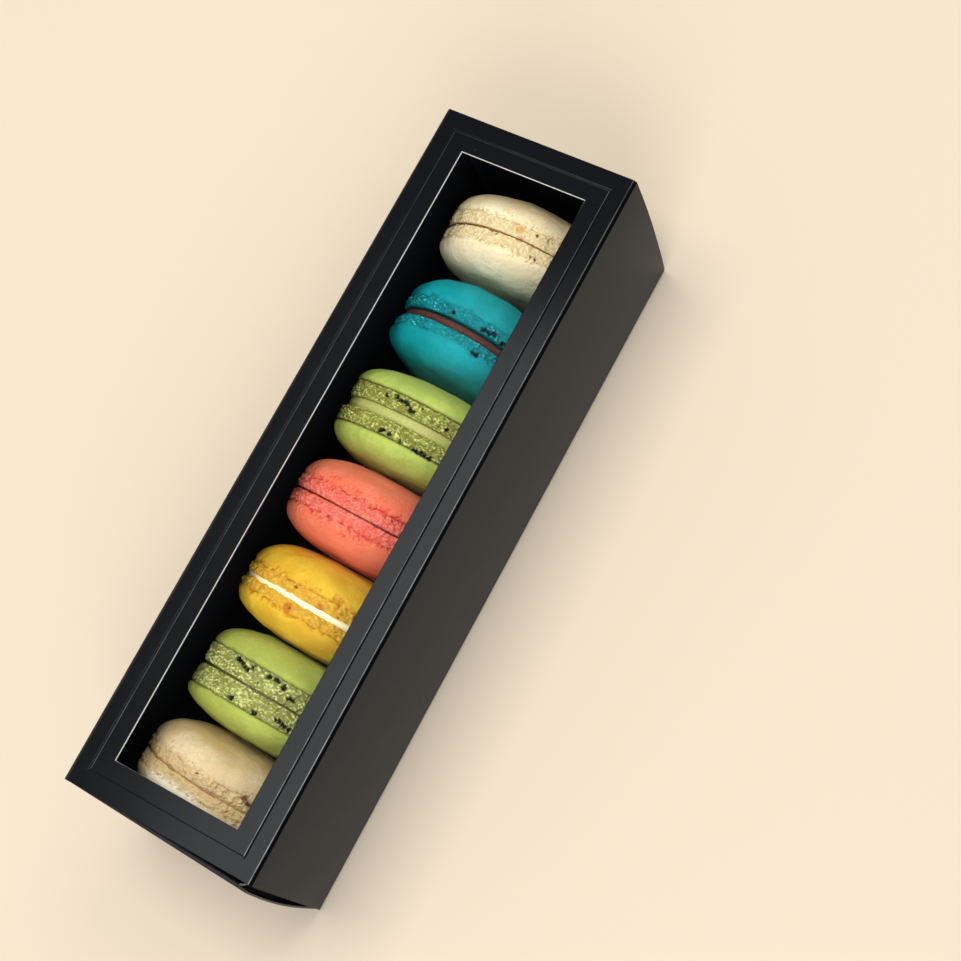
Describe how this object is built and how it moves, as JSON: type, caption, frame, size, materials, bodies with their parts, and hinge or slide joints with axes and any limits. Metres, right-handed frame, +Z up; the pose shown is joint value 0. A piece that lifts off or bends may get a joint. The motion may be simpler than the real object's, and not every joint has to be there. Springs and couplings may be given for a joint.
{
  "type": "window sleeve box of filled almond biscuits",
  "caption": "Black card sleeve with a clear top window and a sliding card tray, holding filled almond biscuits of different colours that stand on edge in a row.",
  "frame": {"origin": "middle of the whole box's footprint, on the surface it stands on", "axes": "+Z up through the window, +Y along the row of biscuits to the far end; the tray's flared corner shows at the -Y end"},
  "size_m": [0.0584, 0.202, 0.055],
  "materials": {
    "sleeve_card": "black card with a matt laminated face",
    "window_film": "clear glossy film",
    "tray_card": "black uncoated card",
    "ivory_shell": "ivory baked almond meringue, smooth dome and porous foot",
    "ivory_filling": "thin caramel cream",
    "turquoise_shell": "turquoise baked almond meringue, smooth dome and porous foot",
    "turquoise_filling": "dark chocolate cream",
    "lime_shell": "lime baked almond meringue, smooth dome and porous foot",
    "lime_filling": "pale green cream",
    "coral_shell": "coral baked almond meringue, smooth dome and porous foot",
    "coral_filling": "thin red jam",
    "golden_shell": "golden baked almond meringue, smooth dome and porous foot",
    "golden_filling": "pale vanilla cream",
    "sage_shell": "sage baked almond meringue, smooth dome and porous foot",
    "sage_filling": "thin olive cream",
    "beige_shell": "beige baked almond meringue, smooth dome and porous foot",
    "beige_filling": "thin nut cream"
  },
  "bodies": {
    "sleeve": {"sleeve": "sleeve_card", "window_film": "window_film"},
    "tray": {"tray": "tray_card", "macaron_1_shell_far": "ivory_shell", "macaron_1_shell_near": "ivory_shell", "macaron_1_filling": "ivory_filling", "macaron_2_shell_far": "turquoise_shell", "macaron_2_shell_near": "turquoise_shell", "macaron_2_filling": "turquoise_filling", "macaron_3_shell_far": "lime_shell", "macaron_3_shell_near": "lime_shell", "macaron_3_filling": "lime_filling", "macaron_4_shell_far": "coral_shell", "macaron_4_shell_near": "coral_shell", "macaron_4_filling": "coral_filling", "macaron_5_shell_far": "golden_shell", "macaron_5_shell_near": "golden_shell", "macaron_5_filling": "golden_filling", "macaron_6_shell_far": "sage_shell", "macaron_6_shell_near": "sage_shell", "macaron_6_filling": "sage_filling", "macaron_7_shell_far": "beige_shell", "macaron_7_shell_near": "beige_shell", "macaron_7_filling": "beige_filling"}
  },
  "joints": [
    {"name": "tray_slide", "type": "slide", "parent": "sleeve", "child": "tray", "axis": [0, -1, 0], "range_m": [-0.15, 0.15]}
  ]
}
